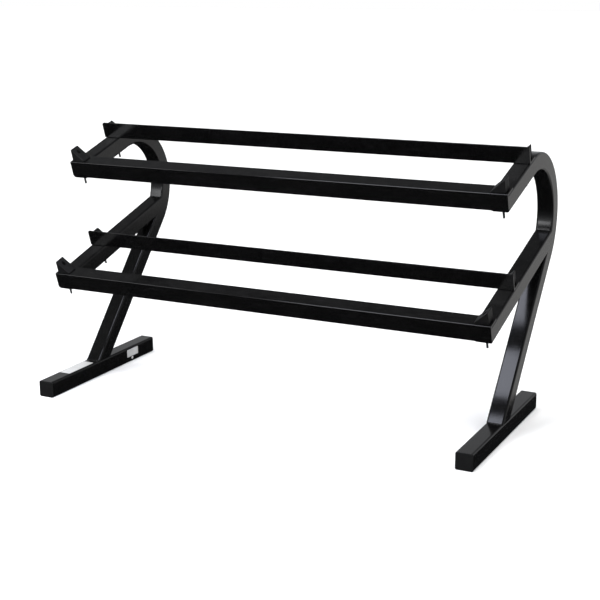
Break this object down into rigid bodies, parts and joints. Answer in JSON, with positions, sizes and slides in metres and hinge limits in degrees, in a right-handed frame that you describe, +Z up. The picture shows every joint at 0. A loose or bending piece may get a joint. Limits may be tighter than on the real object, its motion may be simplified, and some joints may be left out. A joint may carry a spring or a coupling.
{
  "type": "dumbbell rack",
  "caption": "Free-standing two-tier dumbbell rack: bent square-tube side frames on straight feet, joined by sloping angle rails with wedge-shaped end stops.",
  "frame": {"origin": "on the floor, under the middle of the rack's length and depth", "axes": "+X along the rails, to the right seen from the front; +Y from the front to the rear; +Z up"},
  "size_m": [1.68, 0.8346, 0.959],
  "materials": {
    "frame_paint": "semi-gloss powder coat",
    "rail_paint": "semi-gloss powder coat",
    "stop_moulding": "moulded, fine matt grain",
    "end_cap_plastic": "moulded, lightly grained",
    "fastener_steel": "black oxide",
    "label_white": "blank vinyl label"
  },
  "bodies": {
    "root": {"left_foot": "frame_paint", "left_foot_front_cap": "end_cap_plastic", "left_foot_rear_cap": "end_cap_plastic", "left_upright": "frame_paint", "left_lower_arm": "frame_paint", "right_foot": "frame_paint", "right_foot_front_cap": "end_cap_plastic", "right_foot_rear_cap": "end_cap_plastic", "right_upright": "frame_paint", "right_lower_arm": "frame_paint", "upper_front_rail": "rail_paint", "upper_front_left_stop": "stop_moulding", "upper_front_right_stop": "stop_moulding", "upper_front_bolts": "fastener_steel", "upper_front_washers": "fastener_steel", "upper_front_lock_nuts": "fastener_steel", "upper_rear_rail": "rail_paint", "upper_rear_left_stop": "stop_moulding", "upper_rear_right_stop": "stop_moulding", "upper_rear_bolts": "fastener_steel", "upper_rear_washers": "fastener_steel", "upper_rear_lock_nuts": "fastener_steel", "lower_front_rail": "rail_paint", "lower_front_left_stop": "stop_moulding", "lower_front_right_stop": "stop_moulding", "lower_front_bolts": "fastener_steel", "lower_front_washers": "fastener_steel", "lower_front_lock_nuts": "fastener_steel", "lower_rear_rail": "rail_paint", "lower_rear_left_stop": "stop_moulding", "lower_rear_right_stop": "stop_moulding", "lower_rear_bolts": "fastener_steel", "lower_rear_washers": "fastener_steel", "lower_rear_lock_nuts": "fastener_steel", "left_foot_top_label": "label_white", "left_foot_side_label": "label_white", "left_foot_round_label": "label_white"}
  },
  "joints": []
}
